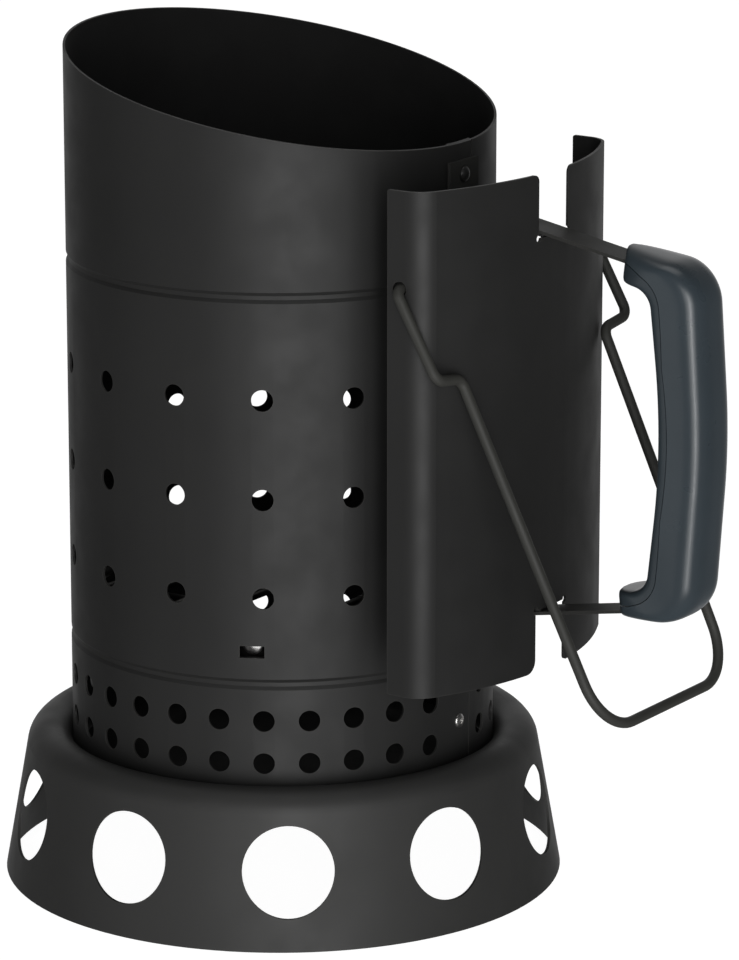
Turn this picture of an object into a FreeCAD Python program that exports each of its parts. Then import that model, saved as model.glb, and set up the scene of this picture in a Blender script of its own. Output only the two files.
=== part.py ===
import FreeCAD, Part
import math
import os
import re
import Sketcher

# Chimney charcoal starter, in millimetres. +Z is up, +X points to the handle, and the origin
# is the centre of the circle that the base stands on.

V = FreeCAD.Vector
UP = V(0, 0, 1)

SIZES = {
    # tube: thin rolled sheet, lapped along +X, with two rolled beads and a slanted mouth
    "tube_radius": 90.0,
    "tube_wall": 1.0,
    "tube_bottom": 50.0,
    "mouth_height": 342.0,
    "mouth_fall": 0.2027,
    "bead_low": 105.5,
    "bead_high": 267.7,
    "bead_reach": 2.3,
    "bead_flat": 0.8,
    "bead_depth": 0.9,
    "lap_angle": 11.0,
    "lap_edge_angle": 5.0,
    "lap_groove_depth": 0.5,
    "lap_groove_angle": 0.4,
    # air holes, on a grid of 30 places round the tube; the lap's own place has none
    "air_hole_radius": 4.5,
    "air_hole_step": 12.0,
    "sparse_row_low": 142.2,
    "sparse_row_middle": 183.7,
    "sparse_row_high": 225.3,
    "dense_row_low": 71.7,
    "dense_row_high": 89.9,
    # lanced windows whose tabs carry the grate
    "window_width": 10.3,
    "window_height": 5.1,
    "window_bottom": 116.8,
    "window_angle": 57.0,
    "tab_reach": 5.0,
    # base: a flared skirt with a rounded shoulder, a collar round the tube and a ledge under it
    "foot_radius": 119.4,
    "skirt_lean": 0.179,
    "skirt_wall": 1.2,
    "skirt_top": 64.5,
    "shoulder_radius": 10.0,
    "collar_curl": 9.0,
    "ledge_radius": 84.0,
    "floor_gap": 0.4,
    "floor_wall": 1.2,
    "floor_dish": 3.0,
    "floor_bead_radius": 60.0,
    "floor_bead_width": 8.0,
    "vent_radius": 19.0,
    "vent_height": 32.5,
    "vent_step": 36.0,
    # heat shield: a sheet with a face concentric with the tube and two flanges
    "shield_radius": 134.8,
    "shield_wall": 1.2,
    "shield_top": 317.3,
    "shield_bottom": 109.2,
    "shield_half_width": 70.0,
    "shield_face_angle": 25.0,
    "shield_bend": 12.0,
    "shield_edge": 100.5,
    "shield_edge_corner": 1.0,
    "notch_top_corner": 3.0,
    "notch_foot_corner": 5.5,
    "notch_far_corner": 2.0,
    "notch_half_width": 11.1,
    "notch_upper_floor": 291.0,
    "notch_lower_roof": 135.6,
    "relief_radius": 1.5,
    # handle strap: one flat bar from the tube, through the shield and the grip, and back
    "strap_width": 13.8,
    "strap_thick": 1.4,
    "strap_slope": 0.182,
    "strap_upper_height": 292.1,
    "strap_upper_at": 136.0,
    "strap_lower_height": 133.3,
    "strap_lower_at": 133.5,
    "strap_run": 193.6,
    "strap_foot_bend": 4.0,
    "strap_grip_bend": 9.0,
    "foot_width": 21.0,
    "foot_upper_top": 317.0,
    "foot_lower_bottom": 111.3,
    "foot_reach": 6.5,
    "clip_depth": 9.0,
    "clip_leg": 13.0,
    "clip_angle": 5.6,
    # plastic grip
    "grip_width": 27.0,
    "grip_edge": 7.0,
    "grip_inner_edge": 4.0,
    "grip_end": 170.8,
    "grip_end_round": 9.0,
    "grip_top": 292.6,
    "grip_bottom": 137.4,
    "grip_end_deep": 13.9,
    "grip_end_thin": 12.1,
    "grip_waist": 214.0,
    "grip_outer_top": 286.6,
    "grip_outer_bottom": 139.6,
    "grip_inner_top": 276.8,
    "grip_inner_bottom": 151.4,
    "grip_outer_top_out": 207.4,
    "grip_outer_waist_out": 214.2,
    "grip_outer_bottom_out": 207.8,
    "grip_inner_top_out": 184.8,
    "grip_inner_waist_out": 192.4,
    "grip_inner_bottom_out": 185.2,
    "grip_face_bow": 375.0,
    "grip_inner_bow": 352.0,
    "grip_outer_corner": 16.0,
    "grip_inner_corner": 9.0,
    # wire bail
    "wire_radius": 2.2,
    "pivot_out": 106.3,
    "pivot_height": 277.6,
    "pivot_hole": 3.2,
    "pivot_bend": 4.0,
    "leg_side": 72.8,
    "jog_out": 125.85,
    "jog_height": 243.2,
    "jog_side": 54.4,
    "jog_shift": 0.6,
    "jog_drop": 2.6,
    "cross_out": 191.5,
    "cross_height": 103.0,
    "cross_side": 50.0,
    "wire_bend": 5.0,
    "cross_bend": 22.0,
    "wire_end": 64.5,
    "retainer_radius": 4.0,
    "retainer_thick": 2.4,
    "retainer_face": 68.0,
    # grate
    "grate_ring_radius": 83.4,
    "grate_wire": 2.0,
    "grate_lift": 0.2,
    "bar_radius": 1.6,
    "bar_gap": 20.0,
    "cross_bar_place": 32.0,
    "cross_bar_spare": 6.0,
    "lug_thick": 1.2,
    "lug_width": 12.0,
    "lug_height": 10.2,
    "stud_radius": 4.3,
    "stud_height": 1.0,
    "stud_rim": 0.3,
    # fasteners
    "seam_rivet_height": 78.0,
    "seam_rivet_upper": 196.0,
    "seam_rivet_head": 3.0,
    "seam_rivet_rise": 1.3,
    "seam_rivet_shank": 1.6,
    "strap_rivet_upper": 311.0,
    "strap_rivet_lower": 117.6,
    "strap_rivet_head": 3.5,
    "strap_rivet_rise": 1.9,
    "strap_rivet_shank": 2.4,
    "base_rivet_height": 52.6,
    "base_rivet_head": 2.6,
    "base_rivet_rise": 1.1,
    "base_rivet_shank": 1.5,
    "tail_rise": 1.1,
    "tail_spread": 0.8,
    "tail_gap": 0.1,
    "grip_screw_upper": 258.0,
    "grip_screw_lower": 169.0,
    "grip_screw_head": 3.2,
    "grip_screw_rise": 1.6,
    "grip_screw_shank": 1.7,
    "grip_screw_length": 14.0,
    "grip_screw_seat": 2.2,
    "grip_screw_room": 0.3,
}

SPARSE_PLACES = 15
DENSE_PLACES = 29
VENTS = 10
TABS = 3
BASE_RIVETS = 4
BARS = 7

# the handle strap's two sloping arms, as their heights on the tube's axis
UPPER_LINE = "strap_upper_height + strap_slope * strap_upper_at"
LOWER_LINE = "strap_lower_height - strap_slope * strap_lower_at"

doc = FreeCAD.newDocument("charcoal_starter")
sheet = doc.addObject("Spreadsheet::Sheet", "Sizes")
for row, (alias, number) in enumerate(SIZES.items(), start=1):
    sheet.set("A%d" % row, alias)
    sheet.set("B%d" % row, str(number))
    sheet.setAlias("B%d" % row, alias)
doc.recompute()

ALIAS = re.compile(r"\b(%s)\b" % "|".join(SIZES))
nodes = {}


# ---------------------------------------------------------------- helpers

def linked(expression):
    """The expression with each alias pointing at the sheet."""
    return ALIAS.sub(r"Sizes.\1", expression)


def size(expression):
    """The number that an expression of the sheet's aliases gives now."""
    return float(sheet.evalExpression(linked(expression)))


def bind(item, **properties):
    """Bind each named property of an object to an expression of the sheet."""
    for name, expression in properties.items():
        item.setExpression(name, linked(expression))
    return item


def bind_place(item, x="0", y="0", z="0"):
    """Bind an object's place to expressions of the sheet."""
    for axis, expression in (("x", x), ("y", y), ("z", z)):
        item.setExpression("Placement.Base." + axis, linked(expression))
    return item


def node(name, item):
    """Register an object as the sub-part of that name."""
    item.Label = name
    nodes[name] = item
    return item


def new_body(name):
    return doc.addObject("PartDesign::Body", name + "_body")


def origin_part(body, role):
    """A body's own origin plane or axis."""
    return next(item for item in body.Origin.OriginFeatures if item.Role == role)


def new_sketch(body, name, plane, lift=None, turn_axis=None, turn=None):
    """A sketch on an origin plane, lifted along its normal and turned about one of its axes."""
    sketch = body.newObject("Sketcher::SketchObject", name)
    sketch.AttachmentSupport = (origin_part(body, plane), [""])
    sketch.MapMode = "FlatFace"
    if turn is not None:
        sketch.AttachmentOffset = FreeCAD.Placement(V(0, 0, 0), FreeCAD.Rotation(turn_axis, 1))
        sketch.setExpression("AttachmentOffset.Rotation.Angle", linked(turn))
    if lift is not None:
        sketch.setExpression("AttachmentOffset.Base.z", linked(lift))
    return sketch


def pin(sketch, geometry, corner):
    """Hold a point at the place given by two expressions."""
    for kind, expression in (("DistanceX", corner[0]), ("DistanceY", corner[1])):
        number = size(expression)
        index = sketch.addConstraint(Sketcher.Constraint(kind, -1, 1, geometry, 1, number))
        sketch.setExpression("Constraints[%d]" % index, linked(expression))


def corner_cut(points, index, radius):
    """Where a rounded corner leaves its two sides, and the corner's centre and turn."""
    here = points[index]
    back = (points[index - 1] - here).normalize()
    ahead = (points[(index + 1) % len(points)] - here).normalize()
    half = back.getAngle(ahead) / 2
    run = radius / math.tan(half)
    middle = (back + ahead).normalize()
    centre = here + middle * (radius / math.sin(half))
    turns_left = (here - points[index - 1]).cross(ahead).z > 0
    return here + back * run, here + ahead * run, centre, turns_left


def outline(sketch, corners, closed=True):
    """Draw straight sides through corners (x, y) or (x, y, radius), each bound to the sheet."""
    points = [V(size(corner[0]), size(corner[1]), 0) for corner in corners]
    starts, ends, arcs = list(points), list(points), {}
    for index, corner in enumerate(corners):
        if len(corner) > 2:
            cut = corner_cut(points, index, size(corner[2]))
            starts[index], ends[index] = cut[1], cut[0]
            arcs[index] = cut
    marks = []
    for corner, point in zip(corners, points):
        marks.append(sketch.addGeometry(Part.Point(point), True))
        pin(sketch, marks[-1], corner)
    last = len(points) if closed else len(points) - 1
    sides = []
    for index in range(last):
        after = (index + 1) % len(points)
        sides.append(sketch.addGeometry(Part.LineSegment(starts[index], ends[after]), False))
        hold_side(sketch, sides[-1], 1, marks[index], index in arcs)
        hold_side(sketch, sides[-1], 2, marks[after], after in arcs)
    for index, (enter, leave, centre, turns_left) in arcs.items():
        first, second = (enter, leave) if turns_left else (leave, enter)
        angles = [math.atan2(point.y - centre.y, point.x - centre.x) for point in (first, second)]
        circle = Part.Circle(centre, UP, size(corners[index][2]))
        arc = sketch.addGeometry(Part.ArcOfCircle(circle, *angles), False)
        meet = (1, 2) if turns_left else (2, 1)
        sketch.addConstraint([
            Sketcher.Constraint("Tangent", sides[index - 1], 2, arc, meet[0]),
            Sketcher.Constraint("Tangent", sides[index], 1, arc, meet[1]),
        ])
        place = sketch.addConstraint(Sketcher.Constraint("Radius", arc, circle.Radius))
        sketch.setExpression("Constraints[%d]" % place, linked(corners[index][2]))


def hold_side(sketch, side, end, mark, rounded):
    """A side ends on its corner's mark, or passes through it where the corner is rounded."""
    if rounded:
        sketch.addConstraint(Sketcher.Constraint("PointOnObject", mark, 1, side))
    else:
        sketch.addConstraint(Sketcher.Constraint("Coincident", side, end, mark, 1))


def disc(sketch, x, y, radius):
    """A circle bound to the sheet."""
    circle = Part.Circle(V(size(x), size(y), 0), UP, size(radius))
    geometry = sketch.addGeometry(circle, False)
    mark = sketch.addGeometry(Part.Point(circle.Center), True)
    pin(sketch, mark, (x, y))
    sketch.addConstraint(Sketcher.Constraint("Coincident", geometry, 3, mark, 1))
    index = sketch.addConstraint(Sketcher.Constraint("Radius", geometry, circle.Radius))
    sketch.setExpression("Constraints[%d]" % index, linked(radius))


def revolve(body, sketch, angle=None, kind="Revolution"):
    """Turn a sketch about its own vertical axis: all the way, or an arc centred on its plane."""
    feature = body.newObject("PartDesign::" + kind, sketch.Name + "_turn")
    feature.Profile = sketch
    feature.ReferenceAxis = (sketch, ["V_Axis"])
    feature.Angle = 360
    if angle is not None:
        bind(feature, Angle=angle)
        feature.Midplane = True
    doc.recompute()
    return feature


def pad(body, sketch, length, both_ways=False):
    feature = body.newObject("PartDesign::Pad", sketch.Name + "_pad")
    feature.Profile = sketch
    bind(feature, Length=length)
    feature.Midplane = both_ways
    doc.recompute()
    return feature


def pocket(body, sketch, length, both_ways=False):
    """Cut along the sketch's own normal, or both ways from its plane."""
    before = body.Tip.Shape.Volume
    feature = body.newObject("PartDesign::Pocket", sketch.Name + "_cut")
    feature.Profile = sketch
    bind(feature, Length=length)
    feature.Midplane = both_ways
    feature.Reversed = not both_ways
    doc.recompute()
    if feature.Shape.Volume >= before - 1e-3:
        raise RuntimeError(sketch.Name + " cuts nothing")
    return feature


def pattern(body, feature, count, angle):
    """Repeat a feature round the upright axis."""
    copies = body.newObject("PartDesign::PolarPattern", feature.Name + "_pattern")
    copies.Originals = [feature]
    copies.Axis = (origin_part(body, "Z_Axis"), [""])
    bind(copies, Angle=angle)
    copies.Occurrences = count
    body.Tip = copies
    doc.recompute()
    return copies


def round_edges(body, radius, chosen):
    """Fillet the tip's edges that the test chooses by their two ends."""
    tip = body.Tip
    names = []
    for index, edge in enumerate(tip.Shape.Edges, start=1):
        ends = [vertex.Point for vertex in edge.Vertexes]
        if len(ends) == 2 and chosen(*ends):
            names.append("Edge%d" % index)
    feature = body.newObject("PartDesign::Fillet", "%s_%s" % (body.Name, radius))
    feature.Base = (tip, names)
    bind(feature, Radius=radius)
    doc.recompute()
    return feature


def primitive(kind, name, **properties):
    return bind(doc.addObject("Part::" + kind, name), **properties)


def combine(kind, name, items):
    """A fuse, common or compound of several objects."""
    result = doc.addObject("Part::" + kind, name)
    if kind == "Compound":
        result.Links = items
    else:
        result.Shapes = items
    return result


def cut(name, base, tool):
    result = doc.addObject("Part::Cut", name)
    result.Base = base
    result.Tool = tool
    return result


def cap_radius(radius, height):
    """The sphere that a cap of this radius and height is cut from."""
    return "((%s)^2 + (%s)^2) / (2 * (%s))" % (radius, height, height)


def cap_centre(radius, height):
    """How high the sphere's centre lies above the cap's flat."""
    return "(%s) - %s" % (height, cap_radius(radius, height))


def dome(name, radius, height):
    """A spherical cap whose flat lies on the XY plane."""
    whole = cap_radius(radius, height)
    cap = primitive("Sphere", name, Radius=whole)
    bind(cap, Angle1="asin(1 - (%s) / (%s))" % (height, whole))
    return bind_place(cap, z=cap_centre(radius, height))


def rivet(name, head, rise, shank, grip, tail, tail_rise):
    """A domed head on the XY plane, a shank down through the grip, and a formed tail."""
    cap = dome(name + "_head", head, rise)
    pin_part = primitive("Cylinder", name + "_shank", Radius=shank, Height=grip)
    bind_place(pin_part, z="-(%s)" % grip)
    end = primitive("Cylinder", name + "_tail", Radius=tail, Height=tail_rise)
    bind_place(end, z="-(%s) - (%s)" % (grip, tail_rise))
    return combine("MultiFuse", name, [cap, pin_part, end])


def seat_radially(item, angle, radius, height):
    """Put an object's XY plane on a cylinder about the Z axis, facing outward."""
    outward = V(math.cos(math.radians(angle)), math.sin(math.radians(angle)), 0)
    place = outward * size(radius) + V(0, 0, size(height))
    item.Placement = FreeCAD.Placement(place, FreeCAD.Rotation(UP, outward))
    return item


def bent_wire(points, bends):
    """Straight runs joined by tangent arcs, one bend radius for each inner point."""
    edges = []
    start = points[0]
    for before, here, after, bend in zip(points, points[1:], points[2:], bends):
        back = (before - here).normalize()
        ahead = (after - here).normalize()
        half = back.getAngle(ahead) / 2
        run = bend / math.tan(half)
        middle = (back + ahead).normalize()
        crown = here + middle * (bend / math.sin(half) - bend)
        enter, leave = here + back * run, here + ahead * run
        edges.append(Part.LineSegment(start, enter).toShape())
        edges.append(Part.Arc(enter, crown, leave).toShape())
        start = leave
    edges.append(Part.LineSegment(start, points[-1]).toShape())
    return Part.Wire(edges)


# ---------------------------------------------------------------- tube

def bead_corners(height, face, side):
    """The four corners of a rolled bead on one face, from below when side is 1."""
    corners = []
    for along, depth in ((-1, "0"), (-0.35, "bead_depth"), (0.35, "bead_depth"), (1, "0")):
        radius = "%s - %s" % (face, depth)
        corners.append((radius, "%s + %s * bead_reach" % (height, along * side)))
    return corners


def tube_wall(body):
    """The wall with its two beads, and the second layer where the sheet laps."""
    inner = "tube_radius - tube_wall"
    top = "mouth_height + tube_radius * mouth_fall + 5"
    corners = [("tube_radius", "tube_bottom")]
    corners += bead_corners("bead_low", "tube_radius", 1)
    corners += bead_corners("bead_high", "tube_radius", 1)
    corners += [("tube_radius", top), (inner, top)]
    corners += bead_corners("bead_high", inner, -1)
    corners += bead_corners("bead_low", inner, -1)
    corners += [(inner, "tube_bottom")]
    wall = new_sketch(body, "tube_wall_outline", "XZ_Plane")
    outline(wall, corners)
    revolve(body, wall)
    lap = new_sketch(body, "lap_outline", "XZ_Plane")
    lap_inner = inner + " - tube_wall"
    outline(lap, [("tube_radius - tube_wall / 2", "tube_bottom"), ("tube_radius - tube_wall / 2", top),
                  (lap_inner, top), (lap_inner, "tube_bottom")])
    keep_bead_clear(body, revolve(body, lap, "lap_angle"))


def keep_bead_clear(body, lap):
    """The lap crosses the beads: their outer grooves are cut again where it filled them."""
    body.Tip = lap
    for name, height in (("low", "bead_low"), ("high", "bead_high")):
        groove = new_sketch(body, "bead_groove_" + name, "XZ_Plane")
        corners = bead_corners(height, "tube_radius", 1)
        outline(groove, corners)
        revolve(body, groove, "lap_angle", "Groove")


def lap_edge(body):
    """A fine line down the outside where the outer layer of the lap ends."""
    edge = new_sketch(body, "lap_edge_outline", "XZ_Plane", None, V(0, 1, 0), "lap_edge_angle")
    top = "mouth_height + tube_radius * mouth_fall + 6"
    outer = "tube_radius + 1"
    inner = "tube_radius - lap_groove_depth"
    outline(edge, [(inner, "tube_bottom - 1"), (outer, "tube_bottom - 1"), (outer, top), (inner, top)])
    revolve(body, edge, "lap_groove_angle", "Groove")


def mouth(body):
    """The slanted cut that leaves the pouring mouth, lowest on the handle's side."""
    slab = new_sketch(body, "mouth_outline", "XZ_Plane")
    reach = "(tube_radius + 10)"
    low = "mouth_height - %s * mouth_fall" % reach
    high = "mouth_height + %s * mouth_fall" % reach
    above = high + " + 20"
    outline(slab, [("-" + reach, high), (reach, low), (reach, above), ("-" + reach, above)])
    pocket(body, slab, "4 * tube_radius", both_ways=True)


def tube_holes(body):
    sparse = new_sketch(body, "sparse_holes", "YZ_Plane", None, V(0, 1, 0), "air_hole_step")
    for height in ("sparse_row_low", "sparse_row_middle", "sparse_row_high"):
        disc(sparse, "0", height, "air_hole_radius")
    pattern(body, pocket(body, sparse, "tube_radius + 20"), SPARSE_PLACES, "360")
    dense = new_sketch(body, "dense_holes", "YZ_Plane", None, V(0, 1, 0), "air_hole_step")
    for height in ("dense_row_low", "dense_row_high"):
        disc(dense, "0", height, "air_hole_radius")
    sweep = "air_hole_step * %d" % (DENSE_PLACES - 1)
    pattern(body, pocket(body, dense, "tube_radius + 20"), DENSE_PLACES, sweep)


def tube_windows(body):
    """Three windows, and under each the tab that was bent inward out of it."""
    half = "window_width / 2"
    window = new_sketch(body, "window_outline", "YZ_Plane", None, V(0, 1, 0), "window_angle")
    top = "window_bottom + window_height"
    outline(window, [("-" + half, "window_bottom"), (half, "window_bottom"), (half, top), ("-" + half, top)])
    pattern(body, pocket(body, window, "tube_radius + 20"), TABS, "360")
    tab = new_sketch(body, "tab_outline", "XY_Plane", "window_bottom - tube_wall", UP, "window_angle")
    root = "tube_radius - 0.7 * tube_wall"
    end = "tube_radius - tube_wall - tab_reach"
    outline(tab, [(end, "-" + half), (root, "-" + half), (root, half), (end, half)])
    pattern(body, pad(body, tab, "tube_wall"), TABS, "360")


def tube_fastener_holes(body):
    lapped = new_sketch(body, "lap_fastener_holes", "YZ_Plane")
    for height in ("seam_rivet_height", "seam_rivet_upper"):
        disc(lapped, "0", height, "seam_rivet_shank")
    for height in ("strap_rivet_upper", "strap_rivet_lower"):
        disc(lapped, "0", height, "strap_rivet_shank")
    pocket(body, lapped, "tube_radius + 20")
    base = new_sketch(body, "tube_base_holes", "YZ_Plane", None, V(0, 1, 0), "180 / %d" % BASE_RIVETS)
    disc(base, "0", "base_rivet_height", "base_rivet_shank")
    pattern(body, pocket(body, base, "tube_radius + 20"), BASE_RIVETS, "360")


def chimney_tube():
    body = new_body("tube")
    tube_wall(body)
    lap_edge(body)
    mouth(body)
    tube_holes(body)
    tube_windows(body)
    tube_fastener_holes(body)
    node("chimney_tube", body)


# ---------------------------------------------------------------- base

def base_ring():
    body = new_body("base")
    lean_wall = "skirt_wall * sqrt(1 + skirt_lean^2)"
    collar = "tube_radius + skirt_wall"
    under = "skirt_top - skirt_wall"
    section = new_sketch(body, "skirt_outline", "XZ_Plane")
    outline(section, [
        ("foot_radius", "0"),
        ("foot_radius - skirt_lean * skirt_top", "skirt_top", "shoulder_radius"),
        ("tube_radius", "skirt_top", "collar_curl"),
        ("tube_radius", "tube_bottom"),
        ("ledge_radius", "tube_bottom"),
        ("ledge_radius", "tube_bottom - skirt_wall"),
        (collar, "tube_bottom - skirt_wall"),
        (collar, under, "collar_curl - skirt_wall"),
        ("foot_radius - %s - skirt_lean * (%s)" % (lean_wall, under), under, "shoulder_radius - skirt_wall"),
        ("foot_radius - " + lean_wall, "0"),
    ])
    revolve(body, section)
    vent = new_sketch(body, "vent_outline", "YZ_Plane", None, V(0, 1, 0), "vent_step / 2")
    disc(vent, "0", "vent_height", "vent_radius")
    pattern(body, pocket(body, vent, "foot_radius + 20"), VENTS, "360")
    fixing = new_sketch(body, "base_fixing_holes", "YZ_Plane", None, V(0, 1, 0), "180 / %d" % BASE_RIVETS)
    disc(fixing, "0", "base_rivet_height", "base_rivet_shank")
    pattern(body, pocket(body, fixing, "tube_radius + 5"), BASE_RIVETS, "360")
    node("base_ring", body)


def floor_plate():
    """The disc that closes the tube's foot: it lies on the ledge, with a ring pressed up in it."""
    body = new_body("floor")
    edge = "tube_radius - 2 * tube_wall - floor_gap"
    rise = "tube_bottom + floor_dish"
    inner = "floor_bead_radius - floor_bead_width"
    outer = "floor_bead_radius + floor_bead_width"
    top = rise + " + floor_wall"
    section = new_sketch(body, "floor_outline", "XZ_Plane")
    outline(section, [
        ("0", "tube_bottom"),
        (inner + " - floor_wall", "tube_bottom"),
        ("floor_bead_radius - floor_bead_width / 2 - floor_wall", rise),
        ("floor_bead_radius + floor_bead_width / 2 + floor_wall", rise),
        (outer + " + floor_wall", "tube_bottom"),
        (edge, "tube_bottom"),
        (edge, "tube_bottom + floor_wall"),
        (outer, "tube_bottom + floor_wall"),
        ("floor_bead_radius + floor_bead_width / 2", top),
        ("floor_bead_radius - floor_bead_width / 2", top),
        (inner, "tube_bottom + floor_wall"),
        ("0", "tube_bottom + floor_wall"),
    ])
    revolve(body, section)
    node("floor_plate", body)


# ---------------------------------------------------------------- heat shield and its clips

def shield_sheet(body):
    """The bent sheet, swept along its plan from one free edge to the other."""
    side = "(shield_half_width - shield_wall / 2)"
    face = "(shield_radius - shield_wall / 2)"
    bend = "shield_bend - shield_wall / 2"
    turn = "(%s - %s * sin(shield_face_angle)) / cos(shield_face_angle)" % (face, side)
    plan = new_sketch(body, "shield_plan", "XY_Plane")
    outline(plan, [
        ("shield_edge", "-" + side),
        (turn, "-" + side, bend),
        (face + " / cos(shield_face_angle)", "0", face),
        (turn, side, bend),
        ("shield_edge", side),
    ], closed=False)
    section = new_sketch(body, "shield_section", "YZ_Plane", "shield_edge")
    near = "-shield_half_width + shield_wall"
    outline(section, [("-shield_half_width", "shield_bottom"), (near, "shield_bottom"),
                      (near, "shield_top"), ("-shield_half_width", "shield_top")])
    doc.recompute()
    sheet_metal = body.newObject("PartDesign::AdditivePipe", "shield_sheet")
    sheet_metal.Profile = section
    sheet_metal.Spine = (plan, [])
    doc.recompute()


def shield_notches(body):
    """The two notches that the strap passes through, with round reliefs at their corners."""
    half = "notch_half_width"
    for name, near, far in (("upper", "notch_upper_floor", "shield_top + 5"),
                            ("lower", "shield_bottom - 5", "notch_lower_roof")):
        notch = new_sketch(body, "notch_" + name, "YZ_Plane")
        outline(notch, [("-" + half, near), (half, near), (half, far), ("-" + half, far)])
        pocket(body, notch, "shield_radius + 20")
    for side in ("-", ""):
        for index, height in enumerate(("notch_upper_floor", "notch_lower_roof")):
            name = "relief_%s_%d" % ("near" if side else "far", index)
            relief = new_sketch(body, name, "YZ_Plane")
            disc(relief, side + half, height, "relief_radius")
            pocket(body, relief, "shield_radius + 20")


def shield_corner_kind(first, second):
    """Which of the sheet's rounded corners a short edge lies at, by the name of its radius."""
    short = (first - second).Length < 2 * size("shield_wall") and abs(first.z - second.z) < 0.1
    at_top = abs(first.z - size("shield_top")) < 0.1
    at_bottom = abs(first.z - size("shield_bottom")) < 0.1
    if not short or not (at_top or at_bottom):
        return None
    if all(abs(mark.x - size("shield_edge")) < 0.1 for mark in (first, second)):
        return "shield_edge_corner"
    if abs(first.x - second.x) < 0.5 * size("shield_wall") or abs(first.y) > 20:
        return None
    if at_top:
        return "notch_top_corner"
    return "notch_foot_corner" if first.y < 0 else "notch_far_corner"


def heat_shield():
    body = new_body("shield")
    shield_sheet(body)
    shield_notches(body)
    for radius in ("shield_edge_corner", "notch_top_corner", "notch_foot_corner", "notch_far_corner"):
        round_edges(body, radius, lambda first, second: shield_corner_kind(first, second) == radius)
    pivots = new_sketch(body, "pivot_holes", "XZ_Plane")
    disc(pivots, "pivot_out", "pivot_height", "pivot_hole")
    pocket(body, pivots, "3 * shield_half_width", both_ways=True)
    node("heat_shield", body)


def shield_clip(name, arm_line, side):
    """An angle clip behind the shield's face: one leg on the sheet, one along the strap.

    The side is 1 for the clip above the lower arm and -1 for the one under the upper arm.
    """
    body = new_body(name + "_angle")
    face = "(shield_radius - shield_wall)"
    back = "(shield_radius - 2 * shield_wall)"
    tip = "(shield_radius - shield_wall - clip_depth)"
    touch = {at: "%s + %d * (strap_slope * %s + strap_thick / 2 * sqrt(1 + strap_slope^2))"
             % (arm_line, side, at) for at in (face, back, tip)}
    section = new_sketch(body, name + "_outline", "XZ_Plane")
    outline(section, [
        (tip, touch[tip]),
        (face, touch[face]),
        (face, "%s + %d * clip_leg" % (touch[face], side)),
        (back, "%s + %d * clip_leg" % (touch[face], side)),
        (back, "%s + %d * shield_wall" % (touch[back], side)),
        (tip, "%s + %d * shield_wall" % (touch[tip], side)),
    ])
    revolve(body, section, "clip_angle")
    node(name, body)


# ---------------------------------------------------------------- handle strap

def strap_feet(body):
    """The wider plates at the bar's two ends, where it is riveted to the tube."""
    half = "foot_width / 2"
    for name, low, high in (("upper", "strap_rivet_upper - foot_reach", "foot_upper_top"),
                            ("lower", "foot_lower_bottom", "strap_rivet_lower + foot_reach")):
        foot = new_sketch(body, "strap_foot_" + name, "YZ_Plane", "tube_radius")
        outline(foot, [("-" + half, low), (half, low), (half, high), ("-" + half, high)])
        pad(body, foot, "strap_thick")


def handle_strap():
    """One flat bar: foot, sloping arm, upright run inside the grip, sloping arm, foot."""
    body = new_body("strap")
    foot = "tube_radius + strap_thick / 2"
    path = new_sketch(body, "strap_path", "XZ_Plane")
    outline(path, [
        (foot, "foot_upper_top"),
        (foot, "%s - strap_slope * (%s)" % (UPPER_LINE, foot), "strap_foot_bend"),
        ("strap_run", UPPER_LINE + " - strap_slope * strap_run", "strap_grip_bend"),
        ("strap_run", LOWER_LINE + " + strap_slope * strap_run", "strap_grip_bend"),
        (foot, "%s + strap_slope * (%s)" % (LOWER_LINE, foot), "strap_foot_bend"),
        (foot, "foot_lower_bottom"),
    ], closed=False)
    section = new_sketch(body, "strap_section", "XY_Plane", "foot_upper_top")
    half = "strap_width / 2"
    outer = "tube_radius + strap_thick"
    outline(section, [("tube_radius", "-" + half), (outer, "-" + half), (outer, half), ("tube_radius", half)])
    doc.recompute()
    bar = body.newObject("PartDesign::AdditivePipe", "strap_bar")
    bar.Profile = section
    bar.Spine = (path, [])
    doc.recompute()
    strap_feet(body)
    holes = new_sketch(body, "strap_foot_holes", "YZ_Plane")
    for height in ("strap_rivet_upper", "strap_rivet_lower"):
        disc(holes, "0", height, "strap_rivet_shank")
    pocket(body, holes, "tube_radius + 20")
    screws = new_sketch(body, "strap_screw_holes", "YZ_Plane", "strap_run - 10")
    for height in ("grip_screw_upper", "grip_screw_lower"):
        disc(screws, "0", height, "grip_screw_shank")
    pocket(body, screws, "20")
    node("handle_strap", body)


# ---------------------------------------------------------------- grip

def grip_outline(sketch):
    outline(sketch, [
        ("grip_end", "grip_top"),
        ("grip_outer_top_out", "grip_outer_top", "grip_outer_corner"),
        ("grip_outer_waist_out", "grip_waist", "grip_face_bow"),
        ("grip_outer_bottom_out", "grip_outer_bottom", "grip_outer_corner"),
        ("grip_end", "grip_bottom"),
        ("grip_end", "grip_bottom + grip_end_thin"),
        ("grip_inner_bottom_out", "grip_inner_bottom", "grip_inner_corner"),
        ("grip_inner_waist_out", "grip_waist", "grip_inner_bow"),
        ("grip_inner_top_out", "grip_inner_top", "grip_inner_corner"),
        ("grip_end", "grip_top - grip_end_deep"),
    ])


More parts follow.
